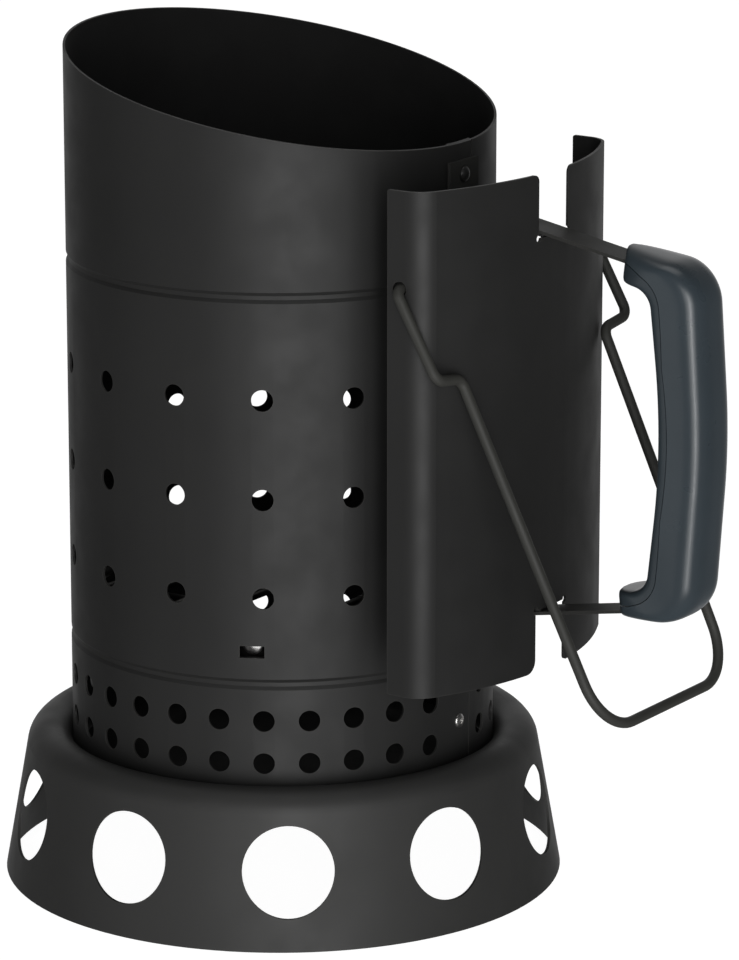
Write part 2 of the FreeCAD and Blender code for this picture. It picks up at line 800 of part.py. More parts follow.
def grip_blank(name):
    """The whole grip as one solid: its outline across the width, with rounded ends and edges."""
    body = new_body(name)
    profile = new_sketch(body, name + "_outline", "XZ_Plane")
    grip_outline(profile)
    pad(body, profile, "grip_width", both_ways=True)
    half = size("grip_width") / 2
    end = size("grip_end")
    round_edges(body, "grip_end_round", lambda first, second: abs(first.x - end) < 0.01
                and abs(second.x - end) < 0.01 and abs(first.y - second.y) < 0.01)
    for radius, inner in (("grip_edge", False), ("grip_inner_edge", True)):
        round_edges(body, radius, lambda first, second: abs(abs(first.y) - half) < 0.01
                    and abs(first.y - second.y) < 0.01
                    and faces_fingers(first, second) == inner)
    return body


def faces_fingers(first, second):
    """True for an edge on the inside of the grip's curve."""
    low = size("grip_bottom + grip_end_thin") - 0.1
    high = size("grip_top - grip_end_deep") + 0.1
    return all(low < mark.z < high and mark.x < size("grip_inner_waist_out") + 1 for mark in (first, second))


def parting_block(name):
    """Everything on the fingers' side of the strap's middle surface."""
    body = new_body(name)
    profile = new_sketch(body, name + "_outline", "XZ_Plane")
    near = "grip_end - 10"
    outline(profile, [
        (near, "%s - strap_slope * (%s)" % (UPPER_LINE, near)),
        ("strap_run", UPPER_LINE + " - strap_slope * strap_run", "strap_grip_bend"),
        ("strap_run", LOWER_LINE + " + strap_slope * strap_run", "strap_grip_bend"),
        (near, "%s + strap_slope * (%s)" % (LOWER_LINE, near)),
    ])
    pad(body, profile, "grip_width + 10", both_ways=True)
    return body


def screw_holes(name, radius, start, end):
    """Two cylinders along X for the grip's screws."""
    drills = []
    for level in ("upper", "lower"):
        drill = primitive("Cylinder", "%s_%s" % (name, level), Radius=radius,
                          Height="(%s) - (%s)" % (end, start))
        drill.Placement = FreeCAD.Placement(V(0, 0, 0), FreeCAD.Rotation(UP, V(1, 0, 0)))
        drills.append(bind_place(drill, x=start, z="grip_screw_" + level))
    return drills


def grip():
    strap = nodes["handle_strap"]
    seat = "(strap_run - strap_thick / 2 - grip_screw_seat)"
    tip = seat + " + grip_screw_length"
    shell_tools = combine("MultiFuse", "shell_tools", [
        parting_block("shell_parting"), strap,
        *screw_holes("shell_drill", "grip_screw_shank", "strap_run", tip)])
    node("grip_outer_shell", cut("grip_shell", grip_blank("shell_blank"), shell_tools))
    cover_side = combine("MultiCommon", "cover_side",
                         [grip_blank("cover_blank"), parting_block("cover_parting")])
    head_room = "grip_screw_head + grip_screw_room"
    cover_tools = combine("MultiFuse", "cover_tools", [
        strap, *screw_holes("cover_drill", "grip_screw_shank", seat + " - 1", "strap_run"),
        *screw_holes("cover_bore", head_room, "strap_run - 30", seat)])
    node("grip_inner_cover", cut("grip_cover", cover_side, cover_tools))


def grip_screws():
    """Two pan-head screws that pull the cover, the strap and the shell together."""
    screws = []
    for level in ("upper", "lower"):
        name = "grip_screw_%s_part" % level
        screw = rivet(name, "grip_screw_head", "grip_screw_rise", "grip_screw_shank",
                      "grip_screw_length - 1", "grip_screw_shank", "1")
        screw.Placement = FreeCAD.Placement(V(0, 0, 0), FreeCAD.Rotation(UP, V(-1, 0, 0)))
        bind_place(screw, x="strap_run - strap_thick / 2 - grip_screw_seat", z="grip_screw_" + level)
        screws.append(screw)
    node("grip_screws", combine("Compound", "grip_screw_set", screws))


# ---------------------------------------------------------------- rivets

def seam_rivets():
    rivets = []
    for place, height in (("low", "seam_rivet_height"), ("high", "seam_rivet_upper")):
        item = rivet("seam_rivet_" + place, "seam_rivet_head", "seam_rivet_rise", "seam_rivet_shank",
                     "2 * tube_wall + tail_gap", "seam_rivet_shank + tail_spread", "tail_rise")
        rivets.append(seat_radially(item, 0, "tube_radius", height))
    node("seam_rivets", combine("Compound", "seam_rivet_set", rivets))


def strap_rivets():
    rivets = []
    for place in ("upper", "lower"):
        item = rivet("strap_rivet_" + place + "_part", "strap_rivet_head", "strap_rivet_rise",
                     "strap_rivet_shank", "strap_thick + 2 * tube_wall + tail_gap",
                     "strap_rivet_shank + tail_spread", "tail_rise")
        rivets.append(seat_radially(item, 0, "tube_radius + strap_thick", "strap_rivet_" + place))
    node("strap_rivets", combine("Compound", "strap_rivet_set", rivets))


def base_rivets():
    rivets = []
    for index in range(BASE_RIVETS):
        item = rivet("base_rivet_%d" % index, "base_rivet_head", "base_rivet_rise", "base_rivet_shank",
                     "skirt_wall + tube_wall + tail_gap", "base_rivet_shank + tail_spread", "tail_rise")
        angle = 360 / BASE_RIVETS * (index + 0.5)
        rivets.append(seat_radially(item, angle, "tube_radius + skirt_wall", "base_rivet_height"))
    node("base_rivets", combine("Compound", "base_rivet_set", rivets))


# ---------------------------------------------------------------- wire bail

def bail_half(side):
    """The bail's corner points on one side, from its end behind the flange to the crossbar."""
    return [
        V(size("pivot_out"), side * size("wire_end"), size("pivot_height")),
        V(size("pivot_out"), side * size("leg_side"), size("pivot_height")),
        V(size("jog_out"), side * size("leg_side"), size("jog_height")),
        V(size("jog_out - jog_shift"), side * size("jog_side"), size("jog_height - jog_drop")),
        V(size("cross_out"), side * size("cross_side"), size("cross_height")),
    ]


def wire_bail():
    """One wire: through the flange, down the leg, a jog inward, down to the crossbar, and back."""
    first, bend, wide = size("pivot_bend"), size("wire_bend"), size("cross_bend")
    points = bail_half(-1) + bail_half(1)[::-1]
    bends = [first, bend, bend, wide, wide, bend, bend, first]
    route = doc.addObject("Part::Feature", "bail_route")
    route.Shape = bent_wire(points, bends)
    ring = primitive("Circle", "bail_section", Radius="wire_radius")
    ring.Placement = FreeCAD.Placement(points[0], FreeCAD.Rotation(UP, points[1] - points[0]))
    wire = doc.addObject("Part::Sweep", "bail_wire")
    wire.Sections = [ring]
    wire.Spine = (route, ["Edge%d" % (index + 1) for index in range(len(route.Shape.Edges))])
    wire.Solid = True
    wire.Frenet = False
    doc.recompute()
    expected = math.pi * size("wire_radius")**2 * route.Shape.Length
    if abs(wire.Shape.Volume / expected - 1) > 0.01:
        raise RuntimeError("the bail's volume is wrong")
    node("wire_bail", wire)


def bail_retainers():
    """A push-on cap on each end of the wire, behind the flange."""
    caps = []
    for index, side in enumerate((-1, 1)):
        disc_part = primitive("Cylinder", "retainer_disc_%d" % index, Radius="retainer_radius",
                              Height="retainer_thick")
        bore = primitive("Cylinder", "retainer_bore_%d" % index, Radius="wire_radius",
                         Height="retainer_thick")
        cap = cut("retainer_%d" % index, disc_part, bore)
        cap.Placement = FreeCAD.Placement(V(0, 0, 0), FreeCAD.Rotation(UP, V(0, -side, 0)))
        bind_place(cap, x="pivot_out", y="%d * retainer_face" % side, z="pivot_height")
        caps.append(cap)
    node("bail_retainers", combine("Compound", "retainer_set", caps))


# ---------------------------------------------------------------- grate

RING_LEVEL = "window_bottom + grate_wire + grate_lift"
BAR_LEVEL = RING_LEVEL + " + grate_wire + bar_radius"


def rod(name, along, place, half, level):
    """A round bar across the grate, along X or Y."""
    item = primitive("Cylinder", name, Radius="bar_radius", Height="2 * (%s)" % half)
    item.Placement = FreeCAD.Placement(V(0, 0, 0), FreeCAD.Rotation(UP, along))
    if along.x:
        return bind_place(item, x="-(%s)" % half, y=place, z=level)
    return bind_place(item, x=place, y="-(%s)" % half, z=level)


def grate():
    ring = primitive("Torus", "grate_hoop", Radius1="grate_ring_radius", Radius2="grate_wire")
    node("grate_ring", bind_place(ring, z=RING_LEVEL))
    bars = []
    for index in range(BARS):
        place = "%d * bar_gap" % (index - BARS // 2)
        half = "sqrt(grate_ring_radius^2 - (%s)^2)" % place
        bars.append(rod("grate_bar_%d" % index, V(0, 1, 0), place, half, BAR_LEVEL))
    node("grate_bars", combine("Compound", "grate_bar_set", bars))
    cross = []
    for index, side in enumerate(("-", "")):
        half = "%d * bar_gap + cross_bar_spare" % (BARS // 2)
        level = BAR_LEVEL + " - 2 * bar_radius"
        cross.append(rod("grate_cross_%d" % index, V(1, 0, 0), side + "cross_bar_place", half, level))
    node("grate_cross_bars", combine("Compound", "grate_cross_set", cross))


def grate_lugs():
    """The plates that stand on the tube's tabs, each with a domed stud facing its window."""
    lugs, studs = [], []
    outer = "grate_ring_radius + grate_wire + lug_thick"
    for index in range(TABS):
        angle = size("window_angle") + 360 / TABS * index
        plate = primitive("Box", "grate_lug_%d" % index, Length="lug_height", Width="lug_width",
                          Height="lug_thick")
        centred = FreeCAD.Placement(V(0, -size("lug_width") / 2, 0), FreeCAD.Rotation())
        foot = FreeCAD.Placement(V(0, 0, size("window_bottom")), FreeCAD.Rotation(UP, angle))
        stand = FreeCAD.Placement(V(size(outer), 0, 0), FreeCAD.Rotation(V(0, 1, 0), -90))
        plate.Placement = foot.multiply(stand).multiply(centred)
        lugs.append(plate)
        cap = dome("lug_stud_cap_%d" % index, "stud_radius", "stud_height")
        bind_place(cap, z=cap_centre("stud_radius", "stud_height") + " + stud_rim")
        rim = primitive("Cylinder", "lug_stud_rim_%d" % index, Radius="stud_radius", Height="stud_rim")
        stud = combine("MultiFuse", "lug_stud_%d" % index, [cap, rim])
        studs.append(seat_radially(stud, angle, outer, "window_bottom + window_height"))
    node("grate_lugs", combine("Compound", "grate_lug_set", lugs))
    node("lug_studs", combine("Compound", "lug_stud_set", studs))


# ---------------------------------------------------------------- make, check and write

def check(item):
    """Stop if an object failed to build."""
    if "Invalid" in item.State or "Error" in item.State:
        raise RuntimeError("%s failed: %s" % (item.Name, item.State))


def write_nodes():
    doc.recompute()
    for item in doc.Objects:
        check(item)
    for name, item in nodes.items():
        if item.Shape.isNull() or not item.Shape.isValid() or not item.Shape.Solids:
            raise RuntimeError("%s has no valid solid" % name)
    os.makedirs("parts", exist_ok=True)
    for name, item in nodes.items():
        item.Shape.exportStep("parts/%s.step" % name)
        box = item.Shape.BoundBox
        print("%-18s %d solid(s) %10.0f mm3  x %7.1f %7.1f  y %7.1f %7.1f  z %7.1f %7.1f" % (
            name, len(item.Shape.Solids), item.Shape.Volume,
            box.XMin, box.XMax, box.YMin, box.YMax, box.ZMin, box.ZMax))


chimney_tube()
base_ring()
floor_plate()
heat_shield()
shield_clip("shield_clip_upper", UPPER_LINE, -1)
shield_clip("shield_clip_lower", LOWER_LINE, 1)
handle_strap()
grip()
grip_screws()
seam_rivets()
strap_rivets()
base_rivets()
wire_bail()
bail_retainers()
grate()
grate_lugs()
write_nodes()
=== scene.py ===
import math

import bmesh
import bpy
from mathutils import Matrix, Vector


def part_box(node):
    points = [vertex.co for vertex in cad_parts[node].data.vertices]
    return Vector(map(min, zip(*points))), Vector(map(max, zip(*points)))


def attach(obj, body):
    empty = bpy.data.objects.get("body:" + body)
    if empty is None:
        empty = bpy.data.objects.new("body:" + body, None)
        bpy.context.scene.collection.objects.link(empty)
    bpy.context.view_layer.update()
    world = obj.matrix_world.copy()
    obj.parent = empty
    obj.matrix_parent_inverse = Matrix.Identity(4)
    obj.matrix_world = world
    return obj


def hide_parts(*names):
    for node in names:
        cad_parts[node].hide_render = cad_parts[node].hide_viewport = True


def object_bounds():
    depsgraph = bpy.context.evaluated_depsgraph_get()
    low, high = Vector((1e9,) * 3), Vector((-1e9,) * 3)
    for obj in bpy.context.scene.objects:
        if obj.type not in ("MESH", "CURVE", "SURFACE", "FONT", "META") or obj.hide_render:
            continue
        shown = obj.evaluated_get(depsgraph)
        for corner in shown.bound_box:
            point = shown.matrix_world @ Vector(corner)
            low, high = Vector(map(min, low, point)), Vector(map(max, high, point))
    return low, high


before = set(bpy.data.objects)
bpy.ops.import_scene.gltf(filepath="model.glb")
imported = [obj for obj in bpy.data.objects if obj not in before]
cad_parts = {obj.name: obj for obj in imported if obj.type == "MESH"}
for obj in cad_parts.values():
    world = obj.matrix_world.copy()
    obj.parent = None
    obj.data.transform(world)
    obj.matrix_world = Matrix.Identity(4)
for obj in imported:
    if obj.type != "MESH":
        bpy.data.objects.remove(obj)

CAD_LOW, CAD_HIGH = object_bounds()

MM = 0.001

# ---------------------------------------------------------------- looks, in linear colour

BLACK_PAINT = (0.011, 0.011, 0.0107)
# painted light: twice the black paint's colour for the base ring, standing in for the extra light its
# upward-tilted surface catches
BASE_PAINT_LIT = (0.022, 0.022, 0.0213)
PAINT_WORN = (0.030, 0.029, 0.027)
STRAP_PAINT = (0.020, 0.020, 0.0185)
WIRE_PAINT = (0.026, 0.026, 0.023)
GRIP_PLASTIC = (0.027, 0.036, 0.043)
# painted shade: a darker copy of the grip's plastic for the cover on the fingers' side, where its surface
# curves away from the light
GRIP_PLASTIC_SHADED = (0.022, 0.030, 0.036)
# painted shade: a near-black colour for the tube's inside, standing in for the shade deep in the tube
INSIDE_SHADE = (0.0022, 0.0022, 0.0021)
# painted shade: the floor plate down in the tube, twice the inside's painted shade but far darker than
# the paint
FLOOR_PLATE_SHADE = tuple(2.0 * part for part in INSIDE_SHADE)
RIVET_ALUMINIUM = (0.72, 0.71, 0.69)
SCREW_STEEL = (0.34, 0.34, 0.34)
GRATE_STEEL = (0.10, 0.098, 0.094)
# painted shade: the grate's lugs sit in the shade inside the tube, so their steel is given a near-black
# colour
LUG_STEEL_SHADED = (0.022, 0.021, 0.020)
STUD_STEEL = (0.62, 0.61, 0.60)
FLOOR_PALE = (0.22, 0.22, 0.22)
FLOOR_GLOW = 0.97

# patterns of the finishes, in turns per metre
PAINT_CLOUDS = 9.0
PAINT_PATCHES = 55.0
PAINT_GRAIN = 3200.0
SHEET_WAVES = 26.0
# the patches of the painted shade inside the tube
INSIDE_SHADE_PATCHES = 38.0
PLASTIC_CLOUDS = 30.0
PLASTIC_PATCHES = 90.0
PLASTIC_GRAIN = 1500.0
PLASTIC_WAVES = 40.0
METAL_STAINS = 140.0
METAL_PATCHES = 240.0
METAL_STREAKS = 1800.0

# wear, grain and edges shared by the finishes
WORN_EDGE_REACH = 0.6 * MM
DARKER = 0.86
LIGHTER = 1.10
PLASTIC_DARKER = 0.90
# the painted shade inside the tube: how much paler its lighter patches are, and its roughness
INSIDE_SHADE_PALER = 1.9
INSIDE_SHADE_ROUGHNESS = 0.88
ROUGHNESS_DRIFT = 0.04
FINE_GRAIN = 0.05 * MM
WAVINESS = 0.6 * MM
SHEET_EDGE = 0.25 * MM
WELD_REACH = 0.004 * MM

# ---------------------------------------------------------------- studio

CAMERA_PLACE = Vector((1.1775, -1.6792, 0.7058))
CAMERA_FORWARD = Vector((-0.5410, 0.8020, -0.2533))
CAMERA_UP = Vector((-0.1416, 0.2099, 0.9674))
CAMERA_LENS = 187.5
SENSOR_HEIGHT = 36.0

FLOOR_HALF = 9.0
FLOOR_DROP = 0.2 * MM
STUDIO_MIDDLE = Vector((0.0, 0.0, 0.2))
# each light: towards the camera, to the camera's right, height, its width, its length, and watts
LIGHTS = {
    "front_softbox": (2.6, 0.3, 0.15, 2.2, 2.6, 44.0),
    "front_strip": (2.5, 0.35, 0.1, 0.30, 1.8, 17.0),
    "left_card": (0.95, -2.3, -0.2, 1.2, 2.0, 4.2),
    "overhead": (0.0, 0.0, 3.2, 2.0, 2.0, 20.0),
}
# how bright the surroundings are, from the camera's side (0) to behind the object (1)
WORLD_LEVELS = ((0.0, 0.08), (0.35, 0.06), (0.60, 0.045), (0.84, 0.16), (0.93, 0.55), (1.0, 0.95))


# ---------------------------------------------------------------- the grip's shape

GRIP_BOX_LOW, GRIP_BOX_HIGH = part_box("grip_outer_shell")
GRIP_END = GRIP_BOX_LOW.x
GRIP_TOP = GRIP_BOX_HIGH.z
GRIP_BOTTOM = GRIP_BOX_LOW.z
GRIP_HALF_WIDTH = GRIP_BOX_HIGH.y
GRIP_REACH = GRIP_BOX_HIGH.x
GRIP_WAIST_HEIGHT = 214.0 * MM
GRIP_WAIST_RADIUS = 300.0 * MM
GRIP_OUTER_CORNER = 19.0 * MM
GRIP_INNER_CORNER = 9.0 * MM
GRIP_PLAN_ROUND = 9.0 * MM
GRIP_OUTER_POWER = 3.1
GRIP_INNER_POWER = 6.0
GRIP_STRAIGHT_STEPS = 9
GRIP_CURVED_STEPS = 14
GRIP_SHELL_POINTS = 49
GRIP_COVER_POINTS = 25
GRIP_PARTING_GAP = 0.34 * MM
GRIP_LIP = 0.22 * MM
SCREW_HEAD_RADIUS = 3.2 * MM
SCREW_HEAD_RISE = 1.6 * MM
SCREW_BORE_RADIUS = 3.5 * MM
BORE_STEPS = 36

# each row: out from the grip's ends, height, corner radius
GRIP_OUTER = (
    (0.0, GRIP_TOP, 0.0),
    (GRIP_REACH - GRIP_END - 4.6 * MM, GRIP_TOP - 5.4 * MM, GRIP_OUTER_CORNER),
    (GRIP_REACH - GRIP_END + 0.7 * MM, GRIP_WAIST_HEIGHT, GRIP_WAIST_RADIUS),
    (GRIP_REACH - GRIP_END - 4.4 * MM, GRIP_BOTTOM + 1.8 * MM, GRIP_OUTER_CORNER),
    (0.0, GRIP_BOTTOM, 0.0),
)
GRIP_INNER = (
    (0.0, GRIP_TOP - 13.9 * MM, 0.0),
    (14.2 * MM, GRIP_TOP - 15.8 * MM, GRIP_INNER_CORNER),
    (21.6 * MM, GRIP_WAIST_HEIGHT, GRIP_WAIST_RADIUS),
    (14.6 * MM, GRIP_BOTTOM + 14.0 * MM, GRIP_INNER_CORNER),
    (0.0, GRIP_BOTTOM + 12.1 * MM, 0.0),
)
# how far the parting line lies from the fingers' side: at the top end, at the bottom end and along
# the run, and the share of the outline over which it eases from an end to the run
PARTING_TOP = 8.2 * MM
PARTING_BOTTOM = 6.6 * MM
PARTING_RUN = 5.8 * MM
PARTING_EASE = 0.30


# ---------------------------------------------------------------- material helpers

class Shader:
    """A material's node tree, with short calls that add and join its nodes."""

    def __init__(self, name):
        self.material = bpy.data.materials.new(name)
        self.material.use_nodes = True
        self.tree = self.material.node_tree
        self.surface = self.tree.nodes["Principled BSDF"]
        self.place = self.add("ShaderNodeTexCoord").outputs["Object"]

    def add(self, kind, **settings):
        item = self.tree.nodes.new(kind)
        for name, value in settings.items():
            setattr(item, name, value)
        return item

    def join(self, source, target):
        self.tree.links.new(source, target)

    def set(self, **values):
        """Set constant values on the surface's own sockets."""
        for name, value in values.items():
            self.surface.inputs[name.replace("_", " ")].default_value = value

    def noise(self, scale, detail=2.0, roughness=0.5, stretch=None):
        """Noise in the object's own space, scaled in turns per metre."""
        texture = self.add("ShaderNodeTexNoise")
        texture.inputs["Scale"].default_value = scale
        texture.inputs["Detail"].default_value = detail
        texture.inputs["Roughness"].default_value = roughness
        source = self.place
        if stretch is not None:
            mapping = self.add("ShaderNodeMapping")
            mapping.inputs["Scale"].default_value = stretch
            self.join(source, mapping.inputs["Vector"])
            source = mapping.outputs["Vector"]
        self.join(source, texture.inputs["Vector"])
        return texture.outputs["Fac"]

    def spread(self, source, low, high, start=0.35, end=0.65):
        """Map a pattern's middle stretch to a range of values."""
        ramp = self.add("ShaderNodeMapRange")
        ramp.inputs["From Min"].default_value = start
        ramp.inputs["From Max"].default_value = end
        ramp.inputs["To Min"].default_value = low
        ramp.inputs["To Max"].default_value = high
        self.join(source, ramp.inputs["Value"])
        return ramp.outputs["Result"]

    def blend(self, amount, first, second):
        """A colour between two colours, each a constant or another node's output."""
        mix = self.add("ShaderNodeMix", data_type="RGBA")
        self.join(amount, mix.inputs["Factor"])
        for socket, colour in (("A", first), ("B", second)):
            target = [item for item in mix.inputs if item.name == socket and item.type == "RGBA"][0]
            if isinstance(colour, tuple):
                target.default_value = (*colour, 1.0)
            else:
                self.join(colour, target)
        return [item for item in mix.outputs if item.type == "RGBA"][0]

    def edges(self, reach):
        """Near 1 along worn outer edges and 0 elsewhere, from the mesh's own curvature."""
        bevel = self.add("ShaderNodeBevel", samples=6)
        bevel.inputs["Radius"].default_value = reach
        geometry = self.add("ShaderNodeNewGeometry")
        dot = self.add("ShaderNodeVectorMath", operation="DOT_PRODUCT")
        self.join(bevel.outputs["Normal"], dot.inputs[0])
        self.join(geometry.outputs["Normal"], dot.inputs[1])
        return self.spread(dot.outputs["Value"], 1.0, 0.0, 0.75, 0.99)

    def bump(self, layers):
        """Stack bumps, each a pattern with its height in metres and its strength."""
        normal = None
        for pattern, height, strength in layers:
            item = self.add("ShaderNodeBump")
            item.inputs["Distance"].default_value = height
            item.inputs["Strength"].default_value = strength
            self.join(pattern, item.inputs["Height"])
            if normal is not None:
                self.join(normal, item.inputs["Normal"])
            normal = item.outputs["Normal"]
        self.join(normal, self.surface.inputs["Normal"])

    def inward(self):
        """1 where a surface faces the object's own upright axis and 0 where it faces away."""
        geometry = self.add("ShaderNodeNewGeometry")
        flat = self.add("ShaderNodeVectorMath", operation="MULTIPLY")
        flat.inputs[1].default_value = (1.0, 1.0, 0.0)
        self.join(self.place, flat.inputs[0])
        unit = self.add("ShaderNodeVectorMath", operation="NORMALIZE")
        self.join(flat.outputs["Vector"], unit.inputs[0])
        dot = self.add("ShaderNodeVectorMath", operation="DOT_PRODUCT")
        self.join(unit.outputs["Vector"], dot.inputs[0])
        self.join(geometry.outputs["Normal"], dot.inputs[1])
        return self.spread(dot.outputs["Value"], 1.0, 0.0, -0.6, -0.3)

    def colour(self, source):
        self.join(source, self.surface.inputs["Base Color"])

    def rough(self, source):
        self.join(source, self.surface.inputs["Roughness"])


def paint_colour(shader, colour):
    """Cloudy paint, slightly paler along its worn edges."""
    clouds = shader.spread(shader.noise(PAINT_CLOUDS, 4.0), 0.0, 1.0)
    darker = tuple(DARKER * part for part in colour)
    lighter = tuple(LIGHTER * part for part in colour)
    tone = shader.blend(clouds, darker, lighter)
    return shader.blend(shader.edges(WORN_EDGE_REACH), tone, PAINT_WORN)


def paint_gloss(shader, roughness):
    """Roughness that wanders a little either way."""
    patches = shader.noise(PAINT_PATCHES, 3.0)
    return shader.spread(patches, roughness - ROUGHNESS_DRIFT, roughness + ROUGHNESS_DRIFT)


def paint_relief(shader, specular, grain):
    """The paint's fine grain, and the faint waviness of the sheet below it."""
    shader.set(Specular_IOR_Level=specular)
    fine = shader.noise(PAINT_GRAIN, 2.0)
    waves = shader.noise(SHEET_WAVES, 2.0)
    shader.bump([(fine, FINE_GRAIN, grain), (waves, WAVINESS, 0.05)])


def paint(name, colour, roughness, specular, grain):
    """Matte heat-resistant paint."""
    shader = Shader(name)
    shader.colour(paint_colour(shader, colour))
    shader.rough(paint_gloss(shader, roughness))
    paint_relief(shader, specular, grain)
    return shader.material


def paint_with_inside_shade(name, colour, roughness, specular, grain):
    """The same paint outside; inside, painted shade: a patchy near-black colour with a dull roughness."""
    shader = Shader(name)
    # the inside gets painted shade, a darker colour where only shade falls
    inside = shader.inward()
    patches = shader.spread(shader.noise(INSIDE_SHADE_PATCHES, 5.0, 0.6), 0.0, 1.0, 0.40, 0.62)
    inside_shade_tone = shader.blend(patches, INSIDE_SHADE, tuple(INSIDE_SHADE_PALER * part for part in INSIDE_SHADE))
    shader.colour(shader.blend(inside, paint_colour(shader, colour), inside_shade_tone))
    dull = shader.add("ShaderNodeMix")
    shader.join(inside, dull.inputs["Factor"])
    shader.join(paint_gloss(shader, roughness), dull.inputs["A"])
    dull.inputs["B"].default_value = INSIDE_SHADE_ROUGHNESS
    shader.rough(dull.outputs["Result"])
    paint_relief(shader, specular, grain)
    return shader.material


def moulded_plastic(name, colour, roughness):
    """Fine-grained moulded plastic with a faint unevenness of tone and gloss."""
    shader = Shader(name)
    clouds = shader.spread(shader.noise(PLASTIC_CLOUDS, 3.0), 0.0, 1.0, 0.15, 0.85)
    darker = tuple(PLASTIC_DARKER * part for part in colour)
    lighter = tuple(LIGHTER * part for part in colour)
    shader.colour(shader.blend(clouds, darker, lighter))
    patches = shader.noise(PLASTIC_PATCHES, 2.0)
    smoother, rougher = roughness - ROUGHNESS_DRIFT, roughness + ROUGHNESS_DRIFT
    shader.rough(shader.spread(patches, smoother, rougher, 0.1, 0.9))
    shader.set(Specular_IOR_Level=0.5)
    fine = shader.noise(PLASTIC_GRAIN, 2.0, 0.6)
    waves = shader.noise(PLASTIC_WAVES, 1.0)
    shader.bump([(fine, 0.08 * MM, 0.32), (waves, 0.3 * MM, 0.02)])
    return shader.material


def bare_metal(name, colour, roughness, stretch, stain):
    """Bare metal with drawn streaks and a duller, darker stain in patches."""
    shader = Shader(name)
    stains = shader.spread(shader.noise(METAL_STAINS, 3.0), 0.0, 1.0)
    shader.colour(shader.blend(stains, colour, tuple(stain * part for part in colour)))
    shader.rough(shader.spread(shader.noise(METAL_PATCHES, 2.0), roughness - 0.07, roughness + 0.09))
    shader.set(Metallic=1.0)
    streaks = shader.noise(METAL_STREAKS, 2.0, 0.5, stretch)
    shader.bump([(streaks, 0.04 * MM, 0.35)])
    return shader.material


def pale_floor():
    """A light table that glows near white, as a plain pale ground for the object."""
    shader = Shader("pale_floor")
    tone = shader.spread(shader.noise(2.0, 2.0), 0.0, 1.0)
    shader.colour(shader.blend(tone, FLOOR_PALE, tuple(0.98 * part for part in FLOOR_PALE)))
    shader.set(Roughness=0.9, Specular_IOR_Level=0.1, Emission_Strength=FLOOR_GLOW)
    shader.set(Emission_Color=(1.0, 1.0, 1.0, 1.0))
    return shader.material


# ---------------------------------------------------------------- mesh helpers

def placed(name, mesh):
    """Put a bmesh into the scene as an object."""
    data = bpy.data.meshes.new(name)
    mesh.to_mesh(data)
    mesh.free()
    item = bpy.data.objects.new(name, data)
    bpy.context.scene.collection.objects.link(item)
    return item


def piece_from(name, mesh, material, body):
    """Put a bmesh into the scene as a named piece that rides on a body."""
    item = placed(name, mesh)
    item.data.materials.append(material)
    smooth(item)
    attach(item, body)
    return item


def smooth(item, angle=32.0):
    """Smooth shading except across edges sharper than the angle."""
    item.data.shade_smooth()
    item.data.set_sharp_from_angle(angle=math.radians(angle))


def bevel(item, width, segments=2, angle=32.0):
    """Round an object's sharp edges so that they catch the light."""
    rounding = item.modifiers.new("edge_rounding", "BEVEL")
    rounding.width = width
    rounding.segments = segments
    rounding.limit_method = "ANGLE"
    rounding.angle_limit = math.radians(angle)
    rounding.harden_normals = True
    rounding.use_clamp_overlap = True


def weld(item):
    """Close up slivers thinner than anything that can be seen."""
    joining = item.modifiers.new("weld", "WELD")
    joining.merge_threshold = WELD_REACH


def dress(node, material, edge=None):
    """Give a CAD node its finish, and rounded edges where it has a width for them."""
    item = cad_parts[node]
    item.data.materials.clear()
    item.data.materials.append(material)
    smooth(item)
    if edge is not None:
        bevel(item, edge)
    else:
        weld(item)


def rounded_line(corners, straight, curved):
    """Points along a line with rounded corners, with the same count for every such line."""
    marks = [Vector((out, height)) for out, height, _ in corners]
    arcs = []
    for index in range(1, len(corners) - 1):
        before = (marks[index - 1] - marks[index]).normalized()
        after = (marks[index + 1] - marks[index]).normalized()
        half = before.angle(after) / 2
        reach = corners[index][2] / math.tan(half)
        middle = marks[index] + (before + after).normalized() * corners[index][2] / math.sin(half)
        start = marks[index] + before * reach - middle
        turn = start.angle_signed(marks[index] + after * reach - middle)
        arcs.append((middle, start, turn))
    points = []
    place = marks[0]
    for middle, start, turn in arcs:
        entry = middle + start
        points += [place.lerp(entry, step / straight) for step in range(straight)]
        for step in range(curved):
            share = turn * step / curved
            points.append(middle + Matrix.Rotation(-share, 2) @ start)
        place = middle + Matrix.Rotation(-turn, 2) @ start
    points += [place.lerp(marks[-1], step / straight) for step in range(straight + 1)]
    return points


def power_point(angle, half_depth, half_width):
    """A point of the grip's section: squarer towards the fingers, rounder on the outside."""
    across, along = math.cos(angle), math.sin(angle)
    power = 2.0 / (GRIP_OUTER_POWER if across > 0 else GRIP_INNER_POWER)
    return (math.copysign(abs(across) ** power * half_depth, across),
            math.copysign(abs(along) ** power * half_width, along))


def power_angle(place, half_depth):
    """The angle at which the grip's section crosses a place along its depth."""
    power = GRIP_OUTER_POWER if place > 0 else GRIP_INNER_POWER
    share = min(1.0, abs(place) / half_depth)
    return math.acos(math.copysign(share ** (power / 2), place))


def plan_half_width(out):
    """The grip's half width a distance out from its end: rounded off towards the end."""
    if out >= GRIP_PLAN_ROUND:
        return GRIP_HALF_WIDTH
    short = GRIP_PLAN_ROUND - out
    return GRIP_HALF_WIDTH - GRIP_PLAN_ROUND + math.sqrt(GRIP_PLAN_ROUND ** 2 - short ** 2)


def parting_depth(share):
    """How deep the parting line lies below the fingers' side, from the top end to the bottom end."""
    end = PARTING_TOP if share < 0.5 else PARTING_BOTTOM
    reach = min(1.0, min(share, 1.0 - share) / PARTING_EASE)
    ease = 0.5 + 0.5 * math.cos(math.pi * reach)
    return PARTING_RUN + (end - PARTING_RUN) * ease


